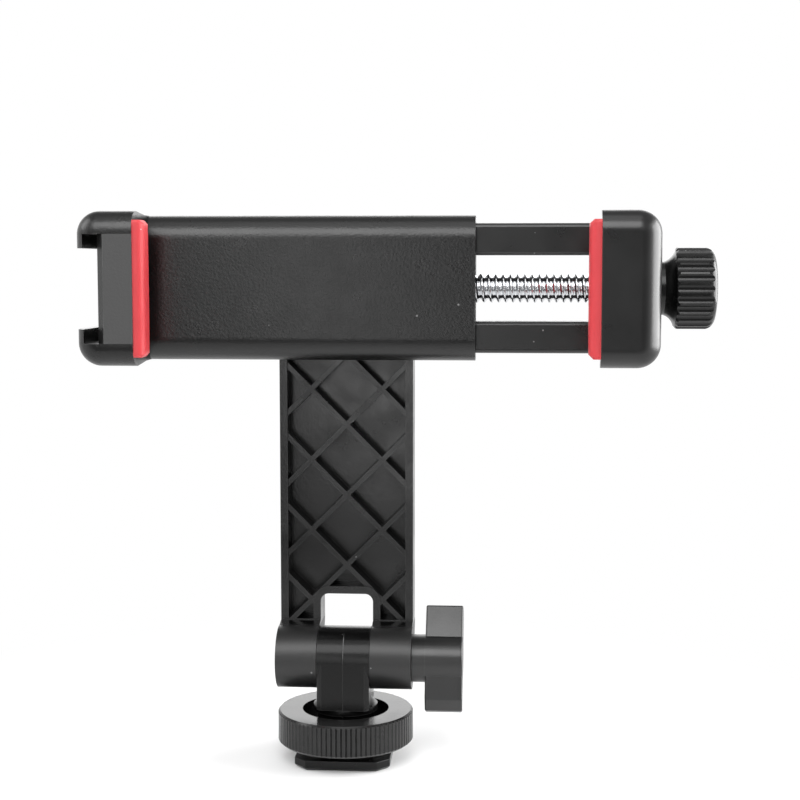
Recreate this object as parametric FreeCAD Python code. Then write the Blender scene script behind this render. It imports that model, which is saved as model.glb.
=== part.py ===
import FreeCAD, Part

import math
import os

# Tripod phone mount adapter, in millimetres.
# X runs along the clamp, from the fixed jaw to the knob, and Z is up.
# The origin is the middle of the shoe foot's underside, and the ribbed side of the arm looks along -Y.
# The clamp is drawn fully open, with its arm upright.

V = FreeCAD.Vector
X_AXIS = V(1, 0, 0)
Y_AXIS = V(0, 1, 0)
Z_AXIS = V(0, 0, 1)

# Clearances
TURN_CLEAR = 0.05        # radial, between a turning shaft and its hole
THREAD_CLEAR = 0.05      # radial, between a thread's crest and its nut
FACE_CLEAR = 0.05        # between two flat faces that turn or slide on each other
SLIDE_CLEAR = 0.10       # each side of a rail in its tube
PASS_CLEAR = 0.15        # radial, round a screw that only passes through
OVERRUN = 1.0            # how far a cutting tool runs past the face that it opens
TOLERANCE = 1e-4         # for telling faces and directions apart

# Shoe foot and its threaded insert
FOOT_WIDTH = 18.6
FOOT_LENGTH = 18.4
FOOT_THICKNESS = 2.0
FOOT_CORNER = 2.4
FOOT_BEVEL = 0.6
TENON_SIDE = 9.4
INSERT_BORE_R = 2.55
INSERT_R = 3.9
INSERT_HEIGHT = 7.5
INSERT_FLANGE_R = 5.7
INSERT_FLANGE_THICKNESS = 0.9
INSERT_KNURLS = 24
KNURL_DEPTH = 0.2
KNURL_R = 0.4

# Lock ring
RING_R = 13.3
RING_BOTTOM = 3.8
RING_HEIGHT = 6.2
RING_FLOOR = 2.0
RING_RECESS_R = 8.5
RING_TEETH = 86
RING_TOOTH_DEPTH = 0.22
RING_NOTCH_SHARE = 0.9   # of a tooth's pitch, where the notch is widest
RING_CHAMFER = 0.4
POST_R = 5.5

# Tilt knuckle
HINGE_HEIGHT = 20.2
BARREL_R = 6.1
KNUCKLE_WIDTH = 10.2
KNUCKLE_SIDE_CLEAR = 0.10
COLUMN_R = 7.4            # rounds the column's upright edges
FLANGE_R = 6.3
FLANGE_BOTTOM = 9.9
FLANGE_THICKNESS = 1.1
FLARE_HEIGHT = 2.4
INSERT_POCKET_HEIGHT = 8.2

# Arm
ARM_WIDTH = 26.3
ARM_FRONT = 2.6
ARM_DEPTH = 7.0
ARM_WALL = 1.5
ARM_WEB = 1.6
ARM_BACK_ROUND = 1.0
RIB_THICKNESS = 0.95
RIB_SETBACK = 0.5
LATTICE_PITCH = 14.0
LATTICE_RISE = 17.7      # from the hinge to the first crossing of the ribs
POCKET_RISE = 6.9        # from the hinge to the pocket's lower wall
WINDOW_RISE = 12.05      # from the hinge to the window's top
WINDOW_ROUND = 1.6
WINDOW_RIM = 1.45
BARREL_PROUD = 0.05      # how far a barrel stands out of the arm's side
SHOULDER_RISE = 8.2      # from the hinge to where the arm's front begins to curve in
HUB_R = 10.8

# Pivot between the arm and the clamp
PIVOT_HEIGHT = 93.0
PIVOT_SCREW_R = 2.45
PIVOT_HEAD_R = 4.75
PIVOT_HEAD_HEIGHT = 2.2
PIVOT_HEAD_ROUND = 0.7
PIVOT_HEX_SOCKET = 3.0
PIVOT_SOCKET_FLOOR = 0.7
PIVOT_SEAT_DEPTH = 4.0
PIVOT_WASHER_R = 5.3
PIVOT_WASHER_THICKNESS = 1.0
SPRING_WASHER_R = 4.9
SPRING_WASHER_THICKNESS = 0.7
SPRING_WASHER_SPLIT = 0.35
DISC_R = 9.6
DISC_THICKNESS = 1.0
PIVOT_NUT_FLATS = 8.0
PIVOT_NUT_HEIGHT = 4.0

# Tube of the clamp
TUBE_FRONT = -17.4
TUBE_WALL = 1.6
TUBE_HALF_HEIGHT = 13.3
TUBE_END = 25.6
TUBE_FRONT_ROUND = 4.4
TUBE_BACK_ROUND = 1.6
BOSS_R = 11.6
BOSS_HEIGHT = 4.0

# Rails of the moving jaw
RAIL_DEPTH = 6.0
RAIL_HEIGHT = 5.8
RAIL_INNER = 6.0
CAVITY_ROUND = 0.9
RAIL_END_CLEAR = 0.6      # between a rail's tip and the cavity's end, closed
RAIL_EDGE_BEVEL = 0.55
RAIL_GROOVE_WIDTH = 2.6
RAIL_GROOVE_DEPTH = 3.2

# Jaws
JAW_THICKNESS = 10.6
JAW_PROUD = 0.55          # how far a jaw stands out above and below the tube
JAW_REACH = 10.4
JAW_CORNER = 4.2
JAW_FRONT_ROUND = 3.8
JAW_BACK_ROUND = 1.2
JAW_WALL = 1.8
JAW_WEB = 1.3
RELIEF_DEPTH = 1.2        # of the moving jaw's inner face, above and below its pad
RELIEF_START = 3.4        # from the jaw's front to the relief
FIXED_JAW_INNER = -34.8
GAP_OPEN = 78.3
CLOSED_GAP = 1.2         # between the moving jaw and the tube's end, closed

# Shoe slot in the fixed jaw
SLOT_HEIGHT = 19.5
SLOT_OPENING = 14.4
SLOT_LIP = 1.6
SLOT_DEPTH = 2.6
SLOT_CHAMFER = 1.2
SLOT_STOP = 1.6           # wall behind each undercut, which stops the shoe
CORE_MARGIN = 1.6

# Pads
PAD_THICKNESS = 2.1
PAD_DEPTH = 5.2
PAD_HALF_HEIGHT = 12.2
PAD_FRONT_MARGIN = 0.4
PAD_END_BEVEL = 0.7
PAD_EDGE_ROUND = 0.6
PAD_PEG_R = 1.3
PAD_PEG_LENGTH = 1.2
PAD_PEG_SPACING = 17.0
PAD_PEGS = 2

# Lead screw and what holds it
SCREW_R = 2.7
SCREW_ROOT_R = 2.05
SCREW_PITCH = 1.32
SCREW_TIP = 18.3
SCREW_JOURNAL_R = 2.0
SCREW_TAIL_LENGTH = 7.0
SCREW_TAIL_R = 1.9
THRUST_WASHER_R = 4.2
THRUST_WASHER_THICKNESS = 0.5
RETAINING_RING_R = 3.6
RETAINING_RING_THICKNESS = 0.6
RETAINING_GROOVE_R = 1.5
RETAINING_RING_MOUTH = 2.7
LEAD_NUT_HEIGHT = 9.0
LEAD_NUT_THICKNESS = 3.6
NUT_WEB = 1.3
NUT_BLOCK_SETBACK = 0.6

# Clamp knob
KNOB_R = 7.4
KNOB_NECK_R = 4.85
KNOB_NECK_LENGTH = 0.8
KNOB_FLARE_LENGTH = 1.9
KNOB_FLARE_BOW = (0.62, 0.37)    # a point of the flare, as shares of its length and rise
KNOB_GRIP_BEVEL = 0.5
KNOB_GRIP_LENGTH = 5.1
KNOB_CROWN_HEIGHT = 1.6
KNOB_CROWN_R = 5.4
KNOB_RIM_WIDTH = 0.76
KNOB_DISH_DEPTH = 0.25
KNOB_DISH_SLOPE = 0.46
KNOB_FLUTES = 24
KNOB_FLUTE_R = 0.95
KNOB_FLUTE_DEPTH = 0.45

# Hinge bolt and wing knob
BOLT_R = 2.45
BOLT_HEAD_FLATS = 8.0
BOLT_HEAD_HEIGHT = 3.4
BOLT_TIP_MARGIN = 1.4
WING_NECK_R = 4.65
WING_NECK_LENGTH = 2.6
WING_HUB_R = 4.75
WING_LENGTH = 20.4
WING_ROOT_THICKNESS = 6.7
WING_TIP_THICKNESS = 3.8
WING_WIDTH = 7.3
WING_ANGLE = 24.0
WING_TIP_BEVEL = 1.8
WING_EDGE_ROUND = 0.35
WING_INSERT_R = 3.4
WING_INSERT_LENGTH = 6.0
WING_INSERT_START = 1.0

# Sizes that follow from the ones above
FORK_GAP = KNUCKLE_WIDTH + 2 * KNUCKLE_SIDE_CLEAR
BARREL_END = ARM_WIDTH / 2 + BARREL_PROUD
LATTICE_CROSSING = HINGE_HEIGHT + LATTICE_RISE
POCKET_BOTTOM = HINGE_HEIGHT + POCKET_RISE
WINDOW_TOP = HINGE_HEIGHT + WINDOW_RISE
SHOULDER_HEIGHT = HINGE_HEIGHT + SHOULDER_RISE
ARM_BACK = ARM_FRONT + ARM_DEPTH
CAVITY_FRONT = TUBE_FRONT + TUBE_WALL
CAVITY_BACK = CAVITY_FRONT + RAIL_DEPTH + 2 * SLIDE_CLEAR
TUBE_BACK = CAVITY_BACK + TUBE_WALL
CAVITY_HALF = RAIL_INNER + RAIL_HEIGHT + SLIDE_CLEAR
SCREW_Y = (CAVITY_FRONT + CAVITY_BACK) / 2
BOSS_BACK = TUBE_BACK + BOSS_HEIGHT
DISC_BACK = BOSS_BACK + FACE_CLEAR + DISC_THICKNESS
HUB_FRONT = DISC_BACK
JAW_FRONT = TUBE_FRONT - JAW_REACH
JAW_HALF_HEIGHT = TUBE_HALF_HEIGHT + JAW_PROUD
PAD_FRONT = JAW_FRONT + PAD_FRONT_MARGIN
FIXED_JAW_OUTER = FIXED_JAW_INNER - JAW_THICKNESS
MOVING_JAW_INNER = FIXED_JAW_INNER + PAD_THICKNESS + GAP_OPEN + PAD_THICKNESS
MOVING_JAW_OUTER = MOVING_JAW_INNER + JAW_THICKNESS
KNOB_START = MOVING_JAW_OUTER + THRUST_WASHER_THICKNESS + 2 * FACE_CLEAR
CAVITY_START = FIXED_JAW_INNER + JAW_WALL
JAW_TRAVEL = MOVING_JAW_INNER - CLOSED_GAP - TUBE_END
RAIL_TIP = CAVITY_START + RAIL_END_CLEAR + JAW_TRAVEL
WING_NECK_START = BARREL_END + FACE_CLEAR
WING_START = WING_NECK_START + WING_NECK_LENGTH
WING_END = WING_START + WING_WIDTH
PIVOT_SEAT = ARM_BACK - PIVOT_SEAT_DEPTH


def box(x0, x1, y0, y1, z0, z1):
    """A box between two corners."""
    return Part.makeBox(x1 - x0, y1 - y0, z1 - z0, V(x0, y0, z0))


def rod(radius, start, end, axis, through):
    """A cylinder along axis, from start to end, on the line that passes the point through."""
    base = through + axis * (start - through.dot(axis))
    return Part.makeCylinder(radius, end - start, base, axis)


def tube(outer, inner, start, end, axis, through):
    """A ring or a sleeve."""
    hole = rod(inner, start - OVERRUN, end + OVERRUN, axis, through)
    return rod(outer, start, end, axis, through).cut(hole)


def prism(points, along):
    """A solid swept from a closed outline by the vector along."""
    outline = Part.makePolygon(points + [points[0]])
    return Part.Face(outline).extrude(along)


def hexagon(flats, start, end, axis, through):
    """A hexagonal bar with the given distance across its flats."""
    side_a = V(0, 0, 1) if abs(axis.z) < 0.5 else V(1, 0, 0)
    side_b = axis.cross(side_a)
    corner = flats / math.sqrt(3)
    base = through + axis * (start - through.dot(axis))
    turns = [math.radians(60 * i) for i in range(6)]
    points = [base + side_a * (corner * math.cos(t)) + side_b * (corner * math.sin(t)) for t in turns]
    return prism(points, axis * (end - start))


def turned(profile, axis, through):
    """A solid turned about axis from points of (place along the axis, radius)."""
    side = V(0, 0, 1) if abs(axis.z) < 0.5 else V(1, 0, 0)
    points = [through + axis * (along - through.dot(axis)) + side * radius for along, radius in profile]
    face = Part.Face(Part.makePolygon(points + [points[0]]))
    return face.revolve(through, axis, 360)


def join(first, others):
    """One solid from several that touch."""
    return first.fuse(others).removeSplitter()


def round_edges(shape, radius, wanted):
    """Fillets each edge that wanted(edge) picks."""
    edges = [e for e in shape.Edges if wanted(e)]
    return shape.makeFillet(radius, edges)


def bevel_edges(shape, size, wanted):
    """Chamfers each edge that wanted(edge) picks."""
    edges = [e for e in shape.Edges if wanted(e)]
    return shape.makeChamfer(size, edges)


def lies_along(edge, axis):
    """Whether a straight edge runs along axis."""
    if not isinstance(edge.Curve, Part.Line):
        return False
    return abs(abs(edge.tangentAt(edge.FirstParameter).dot(axis)) - 1) < TOLERANCE


def near(value, target):
    """Whether two sizes are the same."""
    return abs(value - target) < TOLERANCE


PIVOT = V(0, 0, PIVOT_HEIGHT)
HINGE = V(0, 0, HINGE_HEIGHT)
SCREW_LINE = V(0, SCREW_Y, PIVOT_HEIGHT)
ORIGIN = V(0, 0, 0)


def make_shoe_foot():
    """The square plate that slides into a camera's shoe."""
    half_x = FOOT_WIDTH / 2
    half_y = FOOT_LENGTH / 2
    plate = box(-half_x, half_x, -half_y, half_y, 0, FOOT_THICKNESS)
    plate = bevel_edges(plate, FOOT_CORNER, lambda e: lies_along(e, Z_AXIS))
    plate = bevel_edges(plate, FOOT_BEVEL, lambda e: near(e.BoundBox.ZMax, 0))
    seat = rod(INSERT_FLANGE_R, -OVERRUN, INSERT_FLANGE_THICKNESS, Z_AXIS, ORIGIN)
    side = TENON_SIDE / 2
    socket = box(-side, side, -side, side, INSERT_FLANGE_THICKNESS, FOOT_THICKNESS + OVERRUN)
    return plate.cut([seat, socket])


def make_tripod_insert():
    """The brass nut for a tripod's quarter-inch screw, which also clamps the foot to the post."""
    flange = rod(INSERT_FLANGE_R, 0, INSERT_FLANGE_THICKNESS, Z_AXIS, ORIGIN)
    sleeve = rod(INSERT_R, 0, INSERT_HEIGHT, Z_AXIS, ORIGIN)
    knurl_line = INSERT_R + KNURL_R - KNURL_DEPTH
    grooves = []
    for i in range(INSERT_KNURLS):
        turn = 2 * math.pi * i / INSERT_KNURLS
        centre = V(knurl_line * math.cos(turn), knurl_line * math.sin(turn), 0)
        grooves.append(rod(KNURL_R, INSERT_FLANGE_THICKNESS, INSERT_HEIGHT + OVERRUN, Z_AXIS, centre))
    body = join(flange, [sleeve]).cut(grooves)
    bore = rod(INSERT_BORE_R, -OVERRUN, INSERT_HEIGHT + OVERRUN, Z_AXIS, ORIGIN)
    return body.cut(bore)


def make_tilt_knuckle():
    """The fixed half of the tilt hinge, with the threaded post that carries the ring and the foot."""
    half = KNUCKLE_WIDTH / 2
    eye = rod(BARREL_R, -half, half, X_AXIS, HINGE)
    flange_top = FLANGE_BOTTOM + FLANGE_THICKNESS
    column = rod(COLUMN_R, flange_top, HINGE_HEIGHT, Z_AXIS, ORIGIN)
    column = column.common(box(-half, half, -BARREL_R, BARREL_R, flange_top, HINGE_HEIGHT))
    flange = rod(FLANGE_R, FLANGE_BOTTOM, flange_top, Z_AXIS, ORIGIN)
    flare_top = flange_top + FLARE_HEIGHT
    spread = 1 - math.sin(math.radians(45))
    cove_middle = V(half + (FLANGE_R - half) * spread, 0, flange_top + FLARE_HEIGHT * spread)
    flare_outline = [
        Part.makeLine(V(0, 0, flange_top), V(FLANGE_R, 0, flange_top)),
        Part.Arc(V(FLANGE_R, 0, flange_top), cove_middle, V(half, 0, flare_top)).toShape(),
        Part.makeLine(V(half, 0, flare_top), V(0, 0, flare_top)),
        Part.makeLine(V(0, 0, flare_top), V(0, 0, flange_top)),
    ]
    flare = Part.Face(Part.Wire(flare_outline)).revolve(ORIGIN, Z_AXIS, 360)
    post = rod(POST_R, FOOT_THICKNESS, FLANGE_BOTTOM, Z_AXIS, ORIGIN)
    side = TENON_SIDE / 2
    tenon = box(-side, side, -side, side, INSERT_FLANGE_THICKNESS, FOOT_THICKNESS)
    body = join(eye, [column, flange, flare, post, tenon])
    bolt_hole = rod(BOLT_R + TURN_CLEAR, -half - OVERRUN, half + OVERRUN, X_AXIS, HINGE)
    pocket = rod(INSERT_R, 0, INSERT_POCKET_HEIGHT, Z_AXIS, ORIGIN)
    return body.cut([bolt_hole, pocket])


def make_lock_ring():
    """The toothed nut that runs down the post and grips the shoe."""
    top = RING_BOTTOM + RING_HEIGHT
    floor = RING_BOTTOM + RING_FLOOR
    bore = POST_R + THREAD_CLEAR
    rim = RING_R - RING_CHAMFER
    profile = [
        (RING_BOTTOM, bore),
        (RING_BOTTOM, rim),
        (RING_BOTTOM + RING_CHAMFER, RING_R),
        (top - RING_CHAMFER, RING_R),
        (top, rim),
        (top, RING_RECESS_R),
        (floor, RING_RECESS_R),
        (floor, bore),
    ]
    ring = turned(profile, Z_AXIS, ORIGIN)
    step = 2 * math.pi / RING_TEETH
    outer = RING_R + RING_TOOTH_DEPTH
    valley = RING_R - RING_TOOTH_DEPTH
    spread = step * RING_NOTCH_SHARE
    notches = []
    for i in range(RING_TEETH):
        turn = i * step
        corners = ((valley, turn), (outer, turn + spread / 2), (outer, turn - spread / 2))
        points = [V(r * math.cos(t), r * math.sin(t), RING_BOTTOM - OVERRUN) for r, t in corners]
        notches.append(prism(points, Z_AXIS * (RING_HEIGHT + 2 * OVERRUN)))
    return ring.cut(notches)


def arm_outline(inset, bottom, front, back):
    """The arm's slab: straight sides and a round top end about the pivot."""
    half = ARM_WIDTH / 2 - inset
    sides = box(-half, half, front, back, bottom, PIVOT_HEIGHT)
    return join(sides, [rod(half, front, back, Y_AXIS, PIVOT)])


def lattice_ribs():
    """The crossed ribs of the arm's open side, at 45 degrees both ways."""
    reach = ARM_WIDTH
    front = ARM_FRONT + RIB_SETBACK
    first = math.floor((POCKET_BOTTOM - reach - LATTICE_CROSSING) / LATTICE_PITCH)
    last = math.ceil((PIVOT_HEIGHT + reach - LATTICE_CROSSING) / LATTICE_PITCH)
    ribs = []
    for slope in (-45, 45):
        for i in range(first, last + 1):
            height = LATTICE_CROSSING + i * LATTICE_PITCH
            half = RIB_THICKNESS / 2
            rib = box(-reach, reach, front, ARM_BACK, height - half, height + half)
            rib.rotate(V(0, 0, height), Y_AXIS, slope)
            ribs.append(rib)
    return ribs


def tangent_point(y, z, side):
    """Where a line from (y, z) touches the hinge barrel, on the given side of it."""
    dy = y
    dz = z - HINGE_HEIGHT
    swing = math.acos(BARREL_R / math.hypot(dy, dz))
    turn = math.atan2(dz, dy) + side * swing
    return BARREL_R * math.cos(turn), HINGE_HEIGHT + BARREL_R * math.sin(turn)


def make_arm():
    """The ribbed arm, with the hub of the clamp's pivot on top and the hinge fork at its foot."""
    half = ARM_WIDTH / 2
    slab = arm_outline(0, POCKET_BOTTOM - ARM_WALL, ARM_FRONT, ARM_BACK)
    slab = round_edges(
        slab,
        ARM_BACK_ROUND,
        lambda e: near(e.BoundBox.YMin, ARM_BACK) and e.BoundBox.ZMax > POCKET_BOTTOM,
    )
    pocket = arm_outline(ARM_WALL, POCKET_BOTTOM, ARM_FRONT - OVERRUN, ARM_BACK - ARM_WEB)
    ribs = [rib.common(pocket) for rib in lattice_ribs()]
    hub = rod(HUB_R, HUB_FRONT, ARM_BACK, Y_AXIS, PIVOT)
    gap = FORK_GAP / 2
    rim_half = gap + WINDOW_RIM
    rim = box(-rim_half, rim_half, ARM_FRONT, ARM_BACK, POCKET_BOTTOM, WINDOW_TOP + WINDOW_RIM)
    rim = round_edges(
        rim,
        WINDOW_ROUND + WINDOW_RIM,
        lambda e: lies_along(e, Y_AXIS) and e.BoundBox.ZMin > WINDOW_TOP,
    )
    front_y, front_z = tangent_point(ARM_FRONT, SHOULDER_HEIGHT, 1)
    back_y, back_z = tangent_point(ARM_BACK, POCKET_BOTTOM - ARM_WALL, -1)
    shoulder = prism(
        [
            V(-half, ARM_FRONT, SHOULDER_HEIGHT - ARM_WALL),
            V(-half, front_y, front_z),
            V(-half, 0, HINGE_HEIGHT),
            V(-half, back_y, back_z),
            V(-half, ARM_BACK, POCKET_BOTTOM - ARM_WALL),
            V(-half, ARM_BACK - ARM_WEB, POCKET_BOTTOM),
            V(-half, ARM_FRONT, POCKET_BOTTOM),
        ],
        X_AXIS * ARM_WIDTH,
    )
    barrel = rod(BARREL_R, -BARREL_END, BARREL_END, X_AXIS, HINGE)
    body = join(slab.cut(pocket), ribs + [hub, rim, shoulder, barrel])
    window = box(-gap, gap, -ARM_WIDTH, ARM_WIDTH, 0, WINDOW_TOP)
    window = round_edges(
        window,
        WINDOW_ROUND,
        lambda e: lies_along(e, Y_AXIS) and near(e.BoundBox.ZMin, WINDOW_TOP),
    )
    bolt_hole = rod(BOLT_R + TURN_CLEAR, -BARREL_END - OVERRUN, BARREL_END + OVERRUN, X_AXIS, HINGE)
    head_end = BOLT_HEAD_HEIGHT - BARREL_END
    head_pocket = hexagon(BOLT_HEAD_FLATS, -BARREL_END - OVERRUN, head_end, X_AXIS, HINGE)
    pivot_hole = rod(PIVOT_SCREW_R + TURN_CLEAR, HUB_FRONT - OVERRUN, ARM_BACK, Y_AXIS, PIVOT)
    pivot_seat = rod(PIVOT_WASHER_R + PASS_CLEAR, PIVOT_SEAT, ARM_BACK + OVERRUN, Y_AXIS, PIVOT)
    return body.cut([window, bolt_hole, head_pocket, pivot_hole, pivot_seat])


def make_hinge_bolt():
    """The hinge's bolt: its head is held in one barrel and its thread reaches into the wing knob."""
    start = -BARREL_END
    head = hexagon(BOLT_HEAD_FLATS, start, start + BOLT_HEAD_HEIGHT, X_AXIS, HINGE)
    shank = rod(BOLT_R, start, WING_END - BOLT_TIP_MARGIN, X_AXIS, HINGE)
    return join(head, [shank])


def make_wing_knob():
    """The wing knob that tightens the tilt hinge."""
    half = WING_LENGTH / 2
    root = WING_ROOT_THICKNESS / 2
    tip = WING_TIP_THICKNESS / 2
    bevel = WING_TIP_BEVEL
    outline = [
        (-tip, bevel - half),
        (bevel - tip, -half),
        (tip, -half),
        (root, 0),
        (tip, half - bevel),
        (tip - bevel, half),
        (-tip, half),
        (-root, 0),
    ]
    blade = prism([V(WING_START, y, HINGE_HEIGHT + z) for y, z in outline], X_AXIS * WING_WIDTH)
    blade = round_edges(blade, WING_EDGE_ROUND, lambda e: True)
    blade.rotate(HINGE, X_AXIS, -WING_ANGLE)
    hub = rod(WING_HUB_R, WING_START, WING_END, X_AXIS, HINGE)
    hub = round_edges(hub, WING_EDGE_ROUND, lambda e: near(e.BoundBox.XMin, WING_END))
    neck = rod(WING_NECK_R, WING_NECK_START, WING_START + WING_EDGE_ROUND, X_AXIS, HINGE)
    body = join(blade, [hub, neck])
    bolt_hole = rod(
        BOLT_R + THREAD_CLEAR, WING_NECK_START - OVERRUN, WING_END - WING_EDGE_ROUND, X_AXIS, HINGE
    )
    seat_end = WING_NECK_START + WING_INSERT_START + WING_INSERT_LENGTH
    seat = rod(WING_INSERT_R, WING_NECK_START - OVERRUN, seat_end, X_AXIS, HINGE)
    return body.cut([bolt_hole, seat])


def make_wing_knob_nut():
    """The brass insert with the wing knob's thread."""
    start = WING_NECK_START + WING_INSERT_START
    end = start + WING_INSERT_LENGTH
    return tube(WING_INSERT_R, BOLT_R + THREAD_CLEAR, start, end, X_AXIS, HINGE)


def make_pivot_screw():
    """The screw that the clamp turns with."""
    under_head = PIVOT_SEAT + PIVOT_WASHER_THICKNESS + FACE_CLEAR + SPRING_WASHER_THICKNESS
    head = rod(PIVOT_HEAD_R, under_head, under_head + PIVOT_HEAD_HEIGHT, Y_AXIS, PIVOT)
    head = round_edges(
        head, PIVOT_HEAD_ROUND, lambda e: near(e.BoundBox.YMin, under_head + PIVOT_HEAD_HEIGHT)
    )
    shank = rod(PIVOT_SCREW_R, CAVITY_BACK + FACE_CLEAR, under_head, Y_AXIS, PIVOT)
    socket = hexagon(
        PIVOT_HEX_SOCKET,
        under_head + PIVOT_SOCKET_FLOOR,
        under_head + PIVOT_HEAD_HEIGHT + OVERRUN,
        Y_AXIS,
        PIVOT,
    )
    return join(head, [shank]).cut(socket)


def make_pivot_washer():
    """The plain washer on the hub's seat."""
    end = PIVOT_SEAT + PIVOT_WASHER_THICKNESS
    return tube(PIVOT_WASHER_R, PIVOT_SCREW_R + PASS_CLEAR, PIVOT_SEAT, end, Y_AXIS, PIVOT)


def make_pivot_spring_washer():
    """The split spring washer under the screw's head, drawn flat."""
    start = PIVOT_SEAT + PIVOT_WASHER_THICKNESS + FACE_CLEAR
    end = start + SPRING_WASHER_THICKNESS
    ring = tube(SPRING_WASHER_R, PIVOT_SCREW_R + PASS_CLEAR, start, end, Y_AXIS, PIVOT)
    low = PIVOT_HEIGHT - SPRING_WASHER_SPLIT / 2
    cut = box(0, SPRING_WASHER_R + OVERRUN, start - OVERRUN, end + OVERRUN, low, low + SPRING_WASHER_SPLIT)
    return ring.cut(cut)


def make_pivot_friction_disc():
    """The fibre disc that the clamp turns on."""
    start = BOSS_BACK + FACE_CLEAR
    return tube(DISC_R, PIVOT_SCREW_R + PASS_CLEAR, start, start + DISC_THICKNESS, Y_AXIS, PIVOT)


def make_pivot_nut():
    """The hexagonal nut in the tube's back wall."""
    end = CAVITY_BACK + PIVOT_NUT_HEIGHT
    bar = hexagon(PIVOT_NUT_FLATS, CAVITY_BACK, end, Y_AXIS, PIVOT)
    return bar.cut(rod(PIVOT_SCREW_R, CAVITY_BACK - OVERRUN, end + OVERRUN, Y_AXIS, PIVOT))


def jaw_block(inner, outer):
    """A jaw's outer form: rounded along the outer edges of its front, back and ends."""
    low = PIVOT_HEIGHT - JAW_HALF_HEIGHT
    high = PIVOT_HEIGHT + JAW_HALF_HEIGHT
    block = box(min(inner, outer), max(inner, outer), JAW_FRONT, TUBE_BACK, low, high)
    block = round_edges(block, JAW_CORNER, lambda e: lies_along(e, Y_AXIS) and near(e.BoundBox.XMin, outer))

    def on_face(edge, y):
        flat = near(edge.BoundBox.YMin, y) and near(edge.BoundBox.YMax, y)
        return flat and not (near(edge.BoundBox.XMin, inner) and near(edge.BoundBox.XMax, inner))

    block = round_edges(block, JAW_FRONT_ROUND, lambda e: on_face(e, JAW_FRONT))
    return round_edges(block, JAW_BACK_ROUND, lambda e: on_face(e, TUBE_BACK))


def peg_heights():
    """Heights of a pad's pegs."""
    first = PIVOT_HEIGHT - PAD_PEG_SPACING * (PAD_PEGS - 1) / 2
    return [first + i * PAD_PEG_SPACING for i in range(PAD_PEGS)]


def pad_pegs(face, direction, length):
    """A pad's pegs, from the jaw's face into the jaw."""
    pegs = []
    for height in peg_heights():
        middle = V(0, PAD_FRONT + PAD_DEPTH / 2, height)
        start, end = sorted((face, face + direction * length))
        pegs.append(rod(PAD_PEG_R, start, end, X_AXIS, middle))
    return pegs


def make_pad(face, direction):
    """A soft pad on a jaw's face. The jaw lies on the side that direction points to."""
    inner = face - direction * PAD_THICKNESS
    bevel = inner + direction * PAD_END_BEVEL
    low = PIVOT_HEIGHT - PAD_HALF_HEIGHT
    high = PIVOT_HEIGHT + PAD_HALF_HEIGHT
    outline = [
        (face, low),
        (bevel, low),
        (inner, low + PAD_END_BEVEL),
        (inner, high - PAD_END_BEVEL),
        (bevel, high),
        (face, high),
    ]
    plate = prism([V(x, PAD_FRONT, z) for x, z in outline], Y_AXIS * PAD_DEPTH)
    plate = round_edges(
        plate,
        PAD_EDGE_ROUND,
        lambda e: lies_along(e, Z_AXIS) and near(e.BoundBox.XMin, inner),
    )
    return join(plate, pad_pegs(face, direction, PAD_PEG_LENGTH))


def shoe_slot():
    """The space of the fixed jaw's shoe, open at both ends."""
    low = PIVOT_HEIGHT - SLOT_HEIGHT / 2
    lip_inner = FIXED_JAW_OUTER + SLOT_LIP
    floor = lip_inner + SLOT_DEPTH
    front = JAW_FRONT - OVERRUN
    back = TUBE_BACK + OVERRUN
    undercut = box(lip_inner, floor, front, TUBE_BACK - SLOT_STOP, low, low + SLOT_HEIGHT)
    throat_low = PIVOT_HEIGHT - SLOT_OPENING / 2
    throat = box(FIXED_JAW_OUTER - OVERRUN, floor, front, back, throat_low, throat_low + SLOT_OPENING)
    chamfer = prism(
        [
            V(floor, JAW_FRONT, low),
            V(floor + SLOT_CHAMFER, JAW_FRONT, low),
            V(floor, JAW_FRONT + SLOT_CHAMFER, low),
        ],
        Z_AXIS * SLOT_HEIGHT,
    )
    return join(undercut, [throat, chamfer])


def nut_block_span():
    """Where the lead nut's block starts and ends along the tube."""
    end = TUBE_END - NUT_BLOCK_SETBACK
    start = end - 2 * NUT_WEB - LEAD_NUT_THICKNESS
    return start, end


def jaw_tapers():
    """What is cut off above and below the fixed jaw, where it comes down to the tube's height."""
    start = JAW_FRONT + JAW_FRONT_ROUND
    back = TUBE_BACK + OVERRUN
    width = FIXED_JAW_INNER - FIXED_JAW_OUTER + 2 * OVERRUN
    cuts = []
    for side in (-1, 1):
        outline = [
            (start, JAW_HALF_HEIGHT),
            (TUBE_FRONT, TUBE_HALF_HEIGHT),
            (back, TUBE_HALF_HEIGHT),
            (back, JAW_HALF_HEIGHT + OVERRUN),
            (start, JAW_HALF_HEIGHT + OVERRUN),
        ]
        corners = [V(FIXED_JAW_OUTER - OVERRUN, y, PIVOT_HEIGHT + side * half) for y, half in outline]
        cuts.append(prism(corners, X_AXIS * width))
    return cuts


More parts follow.
